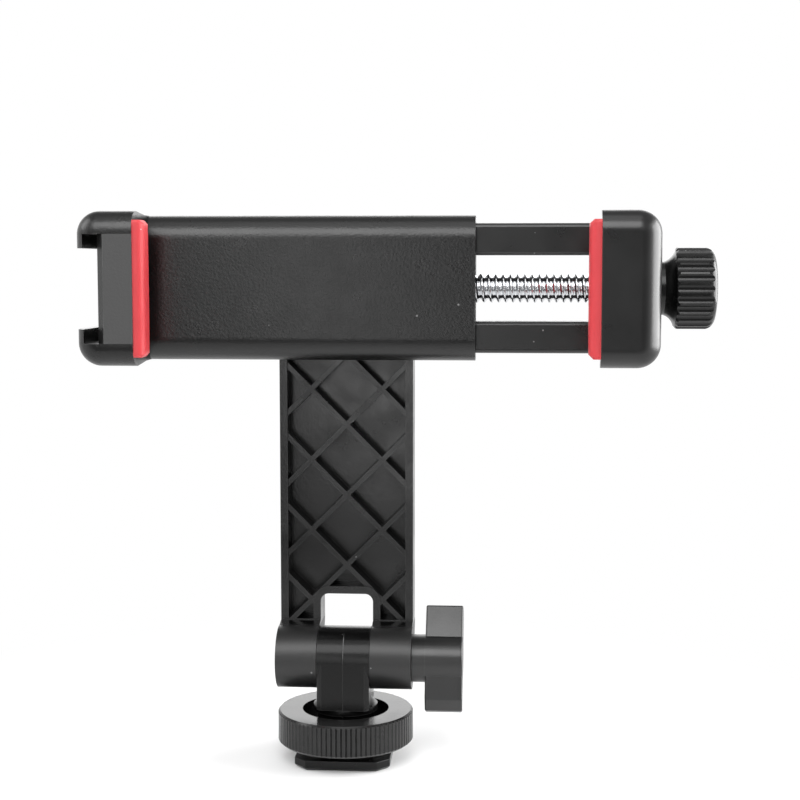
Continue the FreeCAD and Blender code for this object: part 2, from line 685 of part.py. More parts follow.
def make_clamp_body():
    """The fixed jaw and the tube, moulded as one piece."""
    low = PIVOT_HEIGHT - TUBE_HALF_HEIGHT
    high = PIVOT_HEIGHT + TUBE_HALF_HEIGHT
    shell = box(FIXED_JAW_INNER - JAW_WALL, TUBE_END, TUBE_FRONT, TUBE_BACK, low, high)
    shell = round_edges(
        shell, TUBE_FRONT_ROUND, lambda e: lies_along(e, X_AXIS) and near(e.BoundBox.YMin, TUBE_FRONT)
    )
    shell = round_edges(
        shell, TUBE_BACK_ROUND, lambda e: lies_along(e, X_AXIS) and near(e.BoundBox.YMin, TUBE_BACK)
    )
    jaw = jaw_block(FIXED_JAW_INNER, FIXED_JAW_OUTER).cut(jaw_tapers())
    boss = rod(BOSS_R, CAVITY_BACK, BOSS_BACK, Y_AXIS, PIVOT)
    body = join(shell, [jaw, boss])

    cavity = box(
        CAVITY_START,
        TUBE_END + OVERRUN,
        CAVITY_FRONT,
        CAVITY_BACK,
        PIVOT_HEIGHT - CAVITY_HALF,
        PIVOT_HEIGHT + CAVITY_HALF,
    )
    cavity = round_edges(
        cavity, CAVITY_ROUND, lambda e: lies_along(e, X_AXIS) and near(e.BoundBox.YMin, CAVITY_FRONT)
    )
    floor = FIXED_JAW_OUTER + SLOT_LIP + SLOT_DEPTH
    core = box(
        floor + CORE_MARGIN,
        FIXED_JAW_INNER - JAW_WALL,
        JAW_FRONT + CORE_MARGIN + SLOT_CHAMFER,
        TUBE_BACK + OVERRUN,
        PIVOT_HEIGHT - SLOT_HEIGHT / 2,
        PIVOT_HEIGHT + SLOT_HEIGHT / 2,
    )
    body = body.cut([cavity, core, shoe_slot()] + pad_pegs(FIXED_JAW_INNER, -1, PAD_PEG_LENGTH))

    start, end = nut_block_span()
    block_half = RAIL_INNER - SLIDE_CLEAR
    block = box(
        start, end, CAVITY_FRONT, CAVITY_BACK, PIVOT_HEIGHT - block_half, PIVOT_HEIGHT + block_half
    )
    body = join(body, [block])
    nut_half = LEAD_NUT_HEIGHT / 2
    nut_slot = box(
        start + NUT_WEB,
        start + NUT_WEB + LEAD_NUT_THICKNESS,
        CAVITY_FRONT,
        TUBE_BACK + OVERRUN,
        PIVOT_HEIGHT - nut_half,
        PIVOT_HEIGHT + nut_half,
    )
    screw_way = rod(SCREW_R + PASS_CLEAR, start - OVERRUN, end + OVERRUN, X_AXIS, SCREW_LINE)
    nut_pocket = hexagon(
        PIVOT_NUT_FLATS, CAVITY_BACK - OVERRUN, CAVITY_BACK + PIVOT_NUT_HEIGHT, Y_AXIS, PIVOT
    )
    pivot_hole = rod(PIVOT_SCREW_R + PASS_CLEAR, CAVITY_BACK, BOSS_BACK + OVERRUN, Y_AXIS, PIVOT)
    return body.cut([nut_slot, screw_way, nut_pocket, pivot_hole])


def make_lead_nut():
    """The flat nut that the lead screw runs in, pushed into its slot from behind."""
    start, _ = nut_block_span()
    half = LEAD_NUT_HEIGHT / 2
    nut = box(
        start + NUT_WEB,
        start + NUT_WEB + LEAD_NUT_THICKNESS,
        CAVITY_FRONT,
        TUBE_BACK - FACE_CLEAR,
        PIVOT_HEIGHT - half,
        PIVOT_HEIGHT + half,
    )
    return nut.cut(rod(SCREW_R + THREAD_CLEAR, start, TUBE_END, X_AXIS, SCREW_LINE))


def make_moving_jaw():
    """The sliding jaw and its two rails, moulded as one piece."""
    block = jaw_block(MOVING_JAW_INNER, MOVING_JAW_OUTER)
    hollow_start = MOVING_JAW_INNER + JAW_WALL
    hollow_end = MOVING_JAW_OUTER - JAW_WALL
    hollow_half = JAW_HALF_HEIGHT - JAW_WALL
    hollow = box(
        hollow_start,
        hollow_end,
        JAW_FRONT + JAW_WALL,
        TUBE_BACK + OVERRUN,
        PIVOT_HEIGHT - hollow_half,
        PIVOT_HEIGHT + hollow_half,
    )
    hollow = round_edges(
        hollow, JAW_WALL, lambda e: lies_along(e, Y_AXIS) and near(e.BoundBox.XMin, hollow_end)
    )
    webs = []
    for side in (-1, 1):
        middle = PIVOT_HEIGHT + side * RAIL_INNER
        webs.append(
            box(
                hollow_start,
                hollow_end,
                JAW_FRONT + JAW_WALL,
                TUBE_BACK - JAW_WALL,
                middle - JAW_WEB / 2,
                middle + JAW_WEB / 2,
            )
        )
    body = join(block.cut(hollow), webs)
    rails = []
    grooves = []
    for side in (-1, 1):
        inner = PIVOT_HEIGHT + side * RAIL_INNER
        outer = inner + side * RAIL_HEIGHT
        low, high = sorted((inner, outer))
        front = SCREW_Y - RAIL_DEPTH / 2
        back = SCREW_Y + RAIL_DEPTH / 2
        rail = box(RAIL_TIP, MOVING_JAW_INNER, front, back, low, high)

        def at_corner(edge):
            return near(edge.BoundBox.YMin, front) and near(edge.BoundBox.ZMin, outer)

        rail = bevel_edges(rail, RAIL_EDGE_BEVEL, lambda e: lies_along(e, X_AXIS) and not at_corner(e))
        rail = round_edges(rail, CAVITY_ROUND - SLIDE_CLEAR, lambda e: lies_along(e, X_AXIS) and at_corner(e))
        rails.append(rail)
        middle = (low + high) / 2
        grooves.append(
            box(
                RAIL_TIP + JAW_WALL,
                MOVING_JAW_INNER - JAW_WALL,
                back - RAIL_GROOVE_DEPTH,
                back + OVERRUN,
                middle - RAIL_GROOVE_WIDTH / 2,
                middle + RAIL_GROOVE_WIDTH / 2,
            )
        )
    body = join(body, rails)
    journal = rod(
        SCREW_JOURNAL_R + TURN_CLEAR,
        MOVING_JAW_INNER,
        MOVING_JAW_OUTER + OVERRUN,
        X_AXIS,
        SCREW_LINE,
    )
    entry = rod(
        SCREW_R + PASS_CLEAR, MOVING_JAW_INNER - OVERRUN, MOVING_JAW_INNER + JAW_WALL, X_AXIS, SCREW_LINE
    )
    reliefs = []
    for side in (-1, 1):
        near_z = PIVOT_HEIGHT + side * PAD_HALF_HEIGHT
        far_z = PIVOT_HEIGHT + side * (JAW_HALF_HEIGHT + OVERRUN)
        low, high = sorted((near_z, far_z))
        reliefs.append(
            box(
                MOVING_JAW_INNER - OVERRUN,
                MOVING_JAW_INNER + RELIEF_DEPTH,
                JAW_FRONT + RELIEF_START,
                TUBE_BACK + OVERRUN,
                low,
                high,
            )
        )
    pegs = pad_pegs(MOVING_JAW_INNER, 1, PAD_PEG_LENGTH)
    return body.cut(grooves + reliefs + [journal, entry] + pegs)


def make_lead_screw():
    """The lead screw, with its plain journal in the jaw and a tail that the knob is moulded on."""
    threads = int((MOVING_JAW_INNER - SCREW_TIP) / SCREW_PITCH)
    profile = [(SCREW_TIP, 0), (SCREW_TIP, SCREW_ROOT_R)]
    for i in range(threads):
        start = SCREW_TIP + i * SCREW_PITCH
        profile.append((start + SCREW_PITCH / 2, SCREW_R))
        profile.append((start + SCREW_PITCH, SCREW_ROOT_R))
    thread_end = SCREW_TIP + threads * SCREW_PITCH
    ring_end = MOVING_JAW_OUTER - JAW_WALL - FACE_CLEAR
    ring_start = ring_end - RETAINING_RING_THICKNESS
    tail_end = KNOB_START + SCREW_TAIL_LENGTH
    profile += [
        (thread_end, SCREW_JOURNAL_R),
        (ring_start, SCREW_JOURNAL_R),
        (ring_start, RETAINING_GROOVE_R),
        (ring_end, RETAINING_GROOVE_R),
        (ring_end, SCREW_JOURNAL_R),
        (KNOB_START, SCREW_JOURNAL_R),
        (KNOB_START, SCREW_TAIL_R),
        (tail_end, SCREW_TAIL_R),
        (tail_end, 0),
    ]
    return turned(profile, X_AXIS, SCREW_LINE)


def make_screw_retaining_ring():
    """The open clip that holds the lead screw in the jaw."""
    end = MOVING_JAW_OUTER - JAW_WALL - FACE_CLEAR
    start = end - RETAINING_RING_THICKNESS
    ring = tube(RETAINING_RING_R, RETAINING_GROOVE_R, start, end, X_AXIS, SCREW_LINE)
    mouth = RETAINING_RING_MOUTH / 2
    cut = box(
        start - OVERRUN,
        end + OVERRUN,
        SCREW_Y,
        SCREW_Y + RETAINING_RING_R + OVERRUN,
        PIVOT_HEIGHT - mouth,
        PIVOT_HEIGHT + mouth,
    )
    return ring.cut(cut)


def make_screw_thrust_washer():
    """The washer between the jaw and the knob."""
    start = MOVING_JAW_OUTER + FACE_CLEAR
    end = start + THRUST_WASHER_THICKNESS
    return tube(THRUST_WASHER_R, SCREW_JOURNAL_R, start, end, X_AXIS, SCREW_LINE)


def make_clamp_knob():
    """The fluted knob that drives the moving jaw."""
    flare_start = KNOB_START + KNOB_NECK_LENGTH
    flare_end = flare_start + KNOB_FLARE_LENGTH
    flare_r = KNOB_R - KNOB_GRIP_BEVEL
    grip_start = flare_end + KNOB_GRIP_BEVEL
    grip_end = grip_start + KNOB_GRIP_LENGTH
    crown_end = grip_end + KNOB_CROWN_HEIGHT

    def at(along, radius):
        return V(along, SCREW_Y, PIVOT_HEIGHT + radius)

    turn = math.radians(45)
    bow_along, bow_up = KNOB_FLARE_BOW
    rise = flare_r - KNOB_NECK_R
    flare_mid = at(flare_start + KNOB_FLARE_LENGTH * bow_along, KNOB_NECK_R + rise * bow_up)
    crown_mid = at(
        grip_end + KNOB_CROWN_HEIGHT * math.sin(turn),
        KNOB_CROWN_R + (KNOB_R - KNOB_CROWN_R) * math.cos(turn),
    )
    dish_edge = KNOB_CROWN_R - KNOB_RIM_WIDTH
    dish_r = dish_edge - KNOB_DISH_SLOPE
    dish_floor = crown_end - KNOB_DISH_DEPTH
    edges = [
        Part.makeLine(at(KNOB_START, 0), at(KNOB_START, KNOB_NECK_R)),
        Part.makeLine(at(KNOB_START, KNOB_NECK_R), at(flare_start, KNOB_NECK_R)),
        Part.Arc(at(flare_start, KNOB_NECK_R), flare_mid, at(flare_end, flare_r)).toShape(),
        Part.makeLine(at(flare_end, flare_r), at(grip_start, KNOB_R)),
        Part.makeLine(at(grip_start, KNOB_R), at(grip_end, KNOB_R)),
        Part.Arc(at(grip_end, KNOB_R), crown_mid, at(crown_end, KNOB_CROWN_R)).toShape(),
        Part.makeLine(at(crown_end, KNOB_CROWN_R), at(crown_end, dish_edge)),
        Part.makeLine(at(crown_end, dish_edge), at(dish_floor, dish_r)),
        Part.makeLine(at(dish_floor, dish_r), at(dish_floor, 0)),
        Part.makeLine(at(dish_floor, 0), at(KNOB_START, 0)),
    ]
    body = Part.Face(Part.Wire(edges)).revolve(SCREW_LINE, X_AXIS, 360)
    centre_r = KNOB_R + KNOB_FLUTE_R - KNOB_FLUTE_DEPTH
    flutes = []
    for i in range(KNOB_FLUTES):
        spin = 2 * math.pi * i / KNOB_FLUTES
        line = V(0, SCREW_Y + centre_r * math.cos(spin), PIVOT_HEIGHT + centre_r * math.sin(spin))
        flutes.append(rod(KNOB_FLUTE_R, flare_start, crown_end, X_AXIS, line))
    body = body.cut(flutes)
    tail_hole = rod(SCREW_TAIL_R, KNOB_START - OVERRUN, KNOB_START + SCREW_TAIL_LENGTH, X_AXIS, SCREW_LINE)
    return body.cut(tail_hole)


def make_fixed_jaw_pad():
    """The pad on the fixed jaw."""
    return make_pad(FIXED_JAW_INNER, -1)


def make_moving_jaw_pad():
    """The pad on the moving jaw."""
    return make_pad(MOVING_JAW_INNER, 1)


MAKERS = {
    "shoe_foot": make_shoe_foot,
    "tripod_insert": make_tripod_insert,
    "tilt_knuckle": make_tilt_knuckle,
    "lock_ring": make_lock_ring,
    "arm": make_arm,
    "hinge_bolt": make_hinge_bolt,
    "wing_knob": make_wing_knob,
    "wing_knob_nut": make_wing_knob_nut,
    "pivot_screw": make_pivot_screw,
    "pivot_washer": make_pivot_washer,
    "pivot_spring_washer": make_pivot_spring_washer,
    "pivot_friction_disc": make_pivot_friction_disc,
    "pivot_nut": make_pivot_nut,
    "clamp_body": make_clamp_body,
    "fixed_jaw_pad": make_fixed_jaw_pad,
    "lead_nut": make_lead_nut,
    "moving_jaw": make_moving_jaw,
    "moving_jaw_pad": make_moving_jaw_pad,
    "lead_screw": make_lead_screw,
    "screw_retaining_ring": make_screw_retaining_ring,
    "screw_thrust_washer": make_screw_thrust_washer,
    "clamp_knob": make_clamp_knob,
}


def write_parts():
    """Makes each piece and writes it as its own file."""
    os.makedirs("parts", exist_ok=True)
    for name, maker in MAKERS.items():
        shape = maker()
        solids = shape.Solids
        print(f"{name}: {len(solids)} solid, {shape.Volume:.1f} mm3, valid {shape.isValid()}")
        piece = solids[0] if len(solids) == 1 else Part.makeCompound(solids)
        piece.exportStep(f"parts/{name}.step")


write_parts()
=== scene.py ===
# %% [markdown]
# # Tripod phone mount adapter
# A small clamp for a phone, on a ribbed arm with a tilt hinge and a shoe foot. The imported CAD model gives
# every piece its shape and place. This script adds what a plain solid lacks: softened edges, a true thread,
# soft pads, moulding marks, and the finish of each material. We load that model first.

# %% Load the imported model
import math

import bpy
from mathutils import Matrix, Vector


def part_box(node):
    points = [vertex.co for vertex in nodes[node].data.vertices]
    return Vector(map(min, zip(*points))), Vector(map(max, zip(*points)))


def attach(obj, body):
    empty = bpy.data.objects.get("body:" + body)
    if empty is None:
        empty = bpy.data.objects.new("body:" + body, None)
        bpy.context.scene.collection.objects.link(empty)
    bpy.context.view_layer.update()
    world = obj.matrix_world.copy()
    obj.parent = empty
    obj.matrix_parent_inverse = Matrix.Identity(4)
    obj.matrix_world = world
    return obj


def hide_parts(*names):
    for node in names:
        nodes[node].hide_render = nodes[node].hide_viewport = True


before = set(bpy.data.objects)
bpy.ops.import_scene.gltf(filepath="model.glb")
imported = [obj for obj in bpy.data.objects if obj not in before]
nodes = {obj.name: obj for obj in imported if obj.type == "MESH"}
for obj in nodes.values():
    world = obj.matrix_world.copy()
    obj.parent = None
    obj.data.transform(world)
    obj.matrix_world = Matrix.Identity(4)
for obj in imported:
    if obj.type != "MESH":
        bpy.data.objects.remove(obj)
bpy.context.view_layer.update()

MM = 0.001
print("CAD nodes:", len(nodes))

# %% [markdown]
# Blender opens with a cube, a lamp and a camera of its own. They would count as pieces of the object, so
# they go before anything is made.

# %% Clear the start-up objects
for name in ("Cube", "Light", "Camera"):
    if name in bpy.data.objects:
        bpy.data.objects.remove(bpy.data.objects[name])

# %% [markdown]
# The camera stands a little to the right of the object, just above the clamp, and looks slightly down and
# left. A long lens keeps the upright lines upright. Its place and turn came from matching measured points
# of the object with the picture, so the frame needs no shift.

# %% Camera
CAMERA_PLACE = (31.32 * MM, -292.89 * MM, 97.39 * MM)
CAMERA_LENS = 68.39
CAMERA_PITCH = -5.109
CAMERA_TURN = 4.015
CLIP_START = 0.01
CLIP_END = 20


def make_camera():
    data = bpy.data.cameras.new("camera")
    data.lens = CAMERA_LENS
    data.clip_start = CLIP_START
    data.clip_end = CLIP_END
    camera = bpy.data.objects.new("camera", data)
    camera.location = CAMERA_PLACE
    camera.rotation_euler = (math.radians(90 + CAMERA_PITCH), 0, math.radians(CAMERA_TURN))
    bpy.context.scene.collection.objects.link(camera)
    bpy.context.scene.camera = camera
    return camera


print("Camera lens:", make_camera().data.lens)

# %% [markdown]
# The world, the floor and every material are node trees. Four small helpers keep them short to read: one
# adds a node, one sets or links a socket, one works out a value from one or two others, and one carries a
# range of values over to another range.

# %% Helpers for node trees


def add(tree, kind, **settings):
    """Adds a shader node and sets its properties by name."""
    node = tree.nodes.new("ShaderNode" + kind)
    for label, value in settings.items():
        setattr(node, label, value)
    return node


def feed(tree, socket, value):
    """Sets a socket to a plain number, or links another socket to it."""
    if isinstance(value, (int, float)):
        socket.default_value = value
    else:
        tree.links.new(value, socket)


def math_node(tree, operation, first, second=None, clamp=False):
    """A Math node fed by two sockets or plain numbers; gives its output socket."""
    node = add(tree, "Math", operation=operation, use_clamp=clamp)
    feed(tree, node.inputs[0], first)
    if second is not None:
        feed(tree, node.inputs[1], second)
    return node.outputs[0]


def ramp(tree, value, start, stop, low=0.0, high=1.0, smooth=False):
    """A Map Range node that takes start to low and stop to high; gives its output socket."""
    node = add(tree, "MapRange", interpolation_type="SMOOTHSTEP" if smooth else "LINEAR")
    tree.links.new(value, node.inputs["Value"])
    for label, end in (("From Min", start), ("From Max", stop), ("To Min", low), ("To Max", high)):
        feed(tree, node.inputs[label], end)
    return node.outputs["Result"]


print("Node helpers:", ", ".join(helper.__name__ for helper in (add, feed, math_node, ramp)))

# %% [markdown]
# Black plastic shows mostly what it reflects, so the surroundings matter more than its colour. The world is
# white wherever the camera looks and where gloss or glass looks level at it, and a softer grey as a source
# of light. Light Path tells those rays apart, so the background is white without more light on the object.
# Overhead the studio is dark, as a real one is beside its lamps, and the side that the object faces is dimmer
# too. Gloss and glass see that, and it is what draws the dark lines in chrome and keeps flat black faces
# deep.

# %% World
SKY_LIGHT = 0.34
CEILING_LIGHT = 0.35
CEILING_START = 0.25
CEILING_FULL = 0.75
FRONT_LIGHT = 0.22
FRONT_START = -0.5
FRONT_FULL = -0.9


def seen_directly(tree):
    """The sum of the rays that see the backdrop itself: camera, gloss and glass."""
    path = add(tree, "LightPath")
    seen = math_node(tree, "ADD", path.outputs["Is Camera Ray"], path.outputs["Is Glossy Ray"])
    return math_node(tree, "ADD", seen, path.outputs["Is Transmission Ray"], clamp=True)


def make_world():
    world = bpy.data.worlds.new("studio")
    world.use_nodes = True
    tree = world.node_tree
    background = tree.nodes["Background"]
    background.inputs["Color"].default_value = (1, 1, 1, 1)
    way = add(tree, "SeparateXYZ")
    tree.links.new(add(tree, "TexCoord").outputs["Generated"], way.inputs[0])
    overhead = ramp(tree, way.outputs["Z"], CEILING_START, CEILING_FULL, 1.0, CEILING_LIGHT, smooth=True)
    ahead = ramp(tree, way.outputs["Y"], FRONT_START, FRONT_FULL, 1.0, FRONT_LIGHT, smooth=True)
    room = math_node(tree, "MULTIPLY", overhead, ahead)
    camera_ray = add(tree, "LightPath").outputs["Is Camera Ray"]
    backdrop = math_node(tree, "MAXIMUM", camera_ray, room)
    strength = ramp(tree, seen_directly(tree), 0.0, 1.0, SKY_LIGHT, backdrop)
    tree.links.new(strength, background.inputs["Strength"])
    bpy.context.scene.world = world
    return world


print("World:", make_world().name, "with light", SKY_LIGHT)

# %% [markdown]
# The floor is a plain pale sheet just under the foot. Close to the object it is an ordinary matt surface,
# so it takes the object's shadow. Further out it fades into the white of the background, so no horizon
# shows. It ends a hand's width in front of the object, as a studio table does, so that upright black faces
# reflect the dim room beyond it and stay dark.

# %% Floor
FLOOR_HALF = 1.5
FLOOR_FRONT = -0.16
FLOOR_DROP = 0.05 * MM
FADE_START = 30 * MM
FADE_END = 120 * MM
FLOOR_COLOUR = (0.93, 0.93, 0.93, 1)


def floor_material():
    material = bpy.data.materials.new("pale_floor")
    material.use_nodes = True
    tree = material.node_tree
    tree.nodes.clear()
    distance = add(tree, "VectorMath", operation="LENGTH")
    tree.links.new(add(tree, "TexCoord").outputs["Object"], distance.inputs[0])
    fade = ramp(tree, distance.outputs["Value"], FADE_START, FADE_END, smooth=True)
    matt = add(tree, "BsdfDiffuse")
    matt.inputs["Color"].default_value = FLOOR_COLOUR
    white = add(tree, "Emission")
    mix = add(tree, "MixShader")
    tree.links.new(math_node(tree, "MULTIPLY", fade, seen_directly(tree)), mix.inputs["Fac"])
    tree.links.new(matt.outputs[0], mix.inputs[1])
    tree.links.new(white.outputs[0], mix.inputs[2])
    output = add(tree, "OutputMaterial")
    tree.links.new(mix.outputs[0], output.inputs["Surface"])
    return material


def make_floor():
    edges = ((-1, FLOOR_FRONT), (1, FLOOR_FRONT), (1, FLOOR_HALF), (-1, FLOOR_HALF))
    corners = [(side * FLOOR_HALF, y, 0) for side, y in edges]
    mesh = bpy.data.meshes.new("floor")
    mesh.from_pydata(corners, [], [(0, 1, 2, 3)])
    mesh.materials.append(floor_material())
    floor = bpy.data.objects.new("floor", mesh)
    floor.location = (0, 0, -FLOOR_DROP)
    bpy.context.scene.collection.objects.link(floor)
    return floor


print("Floor:", make_floor().name)

# %% [markdown]
# Six soft lamps make the highlights. A broad one in front and above draws the long bands on the tube and
# the hinge. A faint narrow one behind the camera gives the slanting sheen on the tube's flat face. One high
# on the left lights the upper edges of the ribs, a dim one overhead the small bevels of the ring and the
# foot, a wide one on the right the round edge of the moving jaw and the knob, and the last stands behind,
# where the top of the lock ring mirrors it. Each is a rectangle that points at the middle of the object:
# its place and size are in mm, its power in watts, and its lean in degrees.

# %% Lamps
AIM = Vector((5, 0, 70)) * MM
LAMPS = {
    "front_softbox": ((-60, -430, 425), (460, 320), 2.3, 0),
    "camera_side_glow": ((-78, -520, 120), (70, 330), 0.24, 22),
    "upper_left_softbox": ((-430, -60, 360), (300, 280), 0.9, 0),
    "overhead_softbox": ((0, -150, 600), (340, 320), 0.4, 0),
    "right_softbox": ((430, 45, 130), (460, 400), 4.5, 0),
    "back_softbox": ((0, 520, 250), (460, 400), 0.8, 0),
}


def make_lamp(name, place, size, power, lean):
    data = bpy.data.lights.new(name, "AREA")
    data.shape = "RECTANGLE"
    data.size = size[0] * MM
    data.size_y = size[1] * MM
    data.energy = power
    lamp = bpy.data.objects.new(name, data)
    lamp.location = Vector(place) * MM
    lamp.rotation_euler = (AIM - lamp.location).to_track_quat("-Z", "Y").to_euler()
    lamp.rotation_euler.rotate_axis("Z", math.radians(lean))
    bpy.context.scene.collection.objects.link(lamp)


for name, (place, size, power, lean) in LAMPS.items():
    make_lamp(name, place, size, power, lean)
print("Lamps:", len(LAMPS))

# %% [markdown]
# Effects that several finishes share are shader groups, built once and placed in each material with its own
# values. These helpers open an empty group with named inputs and outputs, give the place on the object, and
# add noise over it.

# %% Helpers for shader groups


def new_group(name, inputs, outputs):
    group = bpy.data.node_groups.new(name, "ShaderNodeTree")
    for label, value in inputs.items():
        socket = group.interface.new_socket(label, in_out="INPUT", socket_type="NodeSocketFloat")
        socket.default_value = value
    for label in outputs:
        group.interface.new_socket(label, in_out="OUTPUT", socket_type="NodeSocketFloat")
    start = group.nodes.new("NodeGroupInput")
    end = group.nodes.new("NodeGroupOutput")
    return group, start, end


def object_place(tree):
    return add(tree, "TexCoord").outputs["Object"]


def noise(tree, scale, detail=2.0, place=None):
    """Noise with so many waves per metre over the object, or over the given place; gives its grey value."""
    node = add(tree, "TexNoise")
    feed(tree, node.inputs["Scale"], scale)
    node.inputs["Detail"].default_value = detail
    tree.links.new(place or object_place(tree), node.inputs["Vector"])
    return node.outputs["Fac"]


print("Group helpers:", ", ".join(helper.__name__ for helper in (new_group, object_place, noise)))

# %% [markdown]
# The tube and the rails have a fine leather-like grain from the mould. It is made of small cells whose
# edges sink, bent and broken up by noise so that no pattern repeats. The group puts out a height, and each
# material turns it into a bump of its own depth.

# %% Moulded grain
BEND_SCALE = 700.0
BEND_REACH = 0.5 * MM
CELL_SMOOTHNESS = 0.6
CELL_SINK = 0.7
FINE_RATIO = 2.2
FINE_SHARE = 0.5


def bent_place(tree):
    """The place on the object, pushed about by noise."""
    place = object_place(tree)
    bend = add(tree, "TexNoise")
    bend.inputs["Scale"].default_value = BEND_SCALE
    tree.links.new(place, bend.inputs["Vector"])
    shift = add(tree, "VectorMath", operation="SCALE")
    shift.inputs["Scale"].default_value = BEND_REACH
    tree.links.new(bend.outputs["Color"], shift.inputs[0])
    moved = add(tree, "VectorMath", operation="ADD")
    tree.links.new(place, moved.inputs[0])
    tree.links.new(shift.outputs["Vector"], moved.inputs[1])
    return moved.outputs["Vector"]


def make_grain_group():
    """Cells that sink towards their edges, roughened by a finer noise."""
    group, start, end = new_group("moulded_grain", {"Cells per metre": 1500.0}, ["Height"])
    scale = start.outputs["Cells per metre"]
    cells = add(group, "TexVoronoi", feature="SMOOTH_F1")
    cells.inputs["Smoothness"].default_value = CELL_SMOOTHNESS
    group.links.new(bent_place(group), cells.inputs["Vector"])
    group.links.new(scale, cells.inputs["Scale"])
    sunk = math_node(group, "MULTIPLY", cells.outputs["Distance"], -CELL_SINK)
    fine = noise(group, math_node(group, "MULTIPLY", scale, FINE_RATIO), detail=3.0)
    rough = math_node(group, "MULTIPLY", fine, FINE_SHARE)
    group.links.new(math_node(group, "ADD", sunk, rough), end.inputs["Height"])
    return group


GRAIN = make_grain_group()
print("Group:", GRAIN.name)

# %% [markdown]
# Moulded plastic is never evenly polished: the flow of the melt and handling leave faint duller clouds.
# This group gives a slow mottle between two values, which goes into roughness.

# %% Polish mottle
CLOUD_LOW = 0.35
CLOUD_HIGH = 0.65


def make_mottle_group():
    inputs = {"Scale": 180.0, "Low": 0.25, "High": 0.4}
    group, start, end = new_group("polish_mottle", inputs, ["Value"])
    clouds = noise(group, start.outputs["Scale"], detail=4.0)
    value = ramp(group, clouds, CLOUD_LOW, CLOUD_HIGH, start.outputs["Low"], start.outputs["High"])
    group.links.new(value, end.inputs["Value"])
    return group


MOTTLE = make_mottle_group()
print("Group:", MOTTLE.name)

# %% [markdown]
# Black plastic holds a little dust, which shows as pale specks. Each cell's own random colour says whether
# it holds a speck and how large, and a second, coarser noise thins them out, so that the specks gather in
# places.

# %% Dust specks
EMPTY_CELLS = 0.7
PATCH_SCALE = 90.0
PATCH_LEVEL = 0.5


def make_dust_group():
    group, start, end = new_group("dust_specks", {"Specks per metre": 520.0, "Size": 0.1}, ["Mask"])
    cells = add(group, "TexVoronoi")
    group.links.new(object_place(group), cells.inputs["Vector"])
    group.links.new(start.outputs["Specks per metre"], cells.inputs["Scale"])
    parted = add(group, "SeparateColor")
    group.links.new(cells.outputs["Color"], parted.inputs["Color"])
    reach = math_node(group, "MULTIPLY", start.outputs["Size"], parted.outputs["Green"])
    inside = math_node(group, "LESS_THAN", cells.outputs["Distance"], reach)
    chosen = math_node(group, "GREATER_THAN", parted.outputs["Red"], EMPTY_CELLS)
    gathered = math_node(group, "GREATER_THAN", noise(group, PATCH_SCALE), PATCH_LEVEL)
    speck = math_node(group, "MULTIPLY", inside, chosen)
    group.links.new(math_node(group, "MULTIPLY", speck, gathered), end.inputs["Mask"])
    return group


DUST = make_dust_group()
print("Group:", DUST.name)

# %% [markdown]
# Handling rubs the corners of a moulding a little paler. Comparing the true normal with one rounded over a
# small radius marks the corners, whatever the mesh, and noise breaks the line up.

# %% Rubbed edges
LIKENESS_START = 0.995
LIKENESS_FULL = 0.9
RUB_SCALE = 900.0


def make_edge_group():
    group, start, end = new_group("rubbed_edges", {"Reach": 0.25 * MM, "Amount": 1.0}, ["Mask"])
    rounded = add(group, "Bevel", samples=4)
    group.links.new(start.outputs["Reach"], rounded.inputs["Radius"])
    likeness = add(group, "VectorMath", operation="DOT_PRODUCT")
    group.links.new(rounded.outputs["Normal"], likeness.inputs[0])
    group.links.new(add(group, "NewGeometry").outputs["Normal"], likeness.inputs[1])
    corner = ramp(group, likeness.outputs["Value"], LIKENESS_START, LIKENESS_FULL)
    broken = math_node(group, "MULTIPLY", corner, noise(group, RUB_SCALE))
    mask = math_node(group, "MULTIPLY", broken, start.outputs["Amount"], clamp=True)
    group.links.new(mask, end.inputs["Mask"])
    return group


EDGES = make_edge_group()
print("Group:", EDGES.name)

# %% [markdown]
# Fingers leave a slanting haze on black plastic. It is a noise stretched along one diagonal, which dulls
# the polish and lightens the colour a touch, so that a flat face isn't one even grey.

# %% Finger haze
HAZE_SLANT = 38
HAZE_STRETCH = (26, 90, 95)
HAZE_START = 0.46
HAZE_FULL = 0.72


def make_haze_group():
    group, start, end = new_group("finger_haze", {"Amount": 1.0}, ["Mask"])
    slant = add(group, "Mapping")
    slant.inputs["Rotation"].default_value = (0, math.radians(HAZE_SLANT), 0)
    slant.inputs["Scale"].default_value = HAZE_STRETCH
    group.links.new(object_place(group), slant.inputs["Vector"])
    smear = noise(group, 1.0, detail=5.0, place=slant.outputs["Vector"])
    spread = ramp(group, smear, HAZE_START, HAZE_FULL, smooth=True)
    group.links.new(math_node(group, "MULTIPLY", spread, start.outputs["Amount"]), end.inputs["Mask"])
    return group


HAZE = make_haze_group()
print("Group:", HAZE.name)

# %% [markdown]
# The face beside the shoe slot is greyer than the rest of its moulding, and the arm's two barrels are
# duller than its ribs, so a finish has to know a place on its piece. This group is 1 inside a box given by
# its middle and half size, and 0 outside, with a short soft step between.

# %% Zone mask


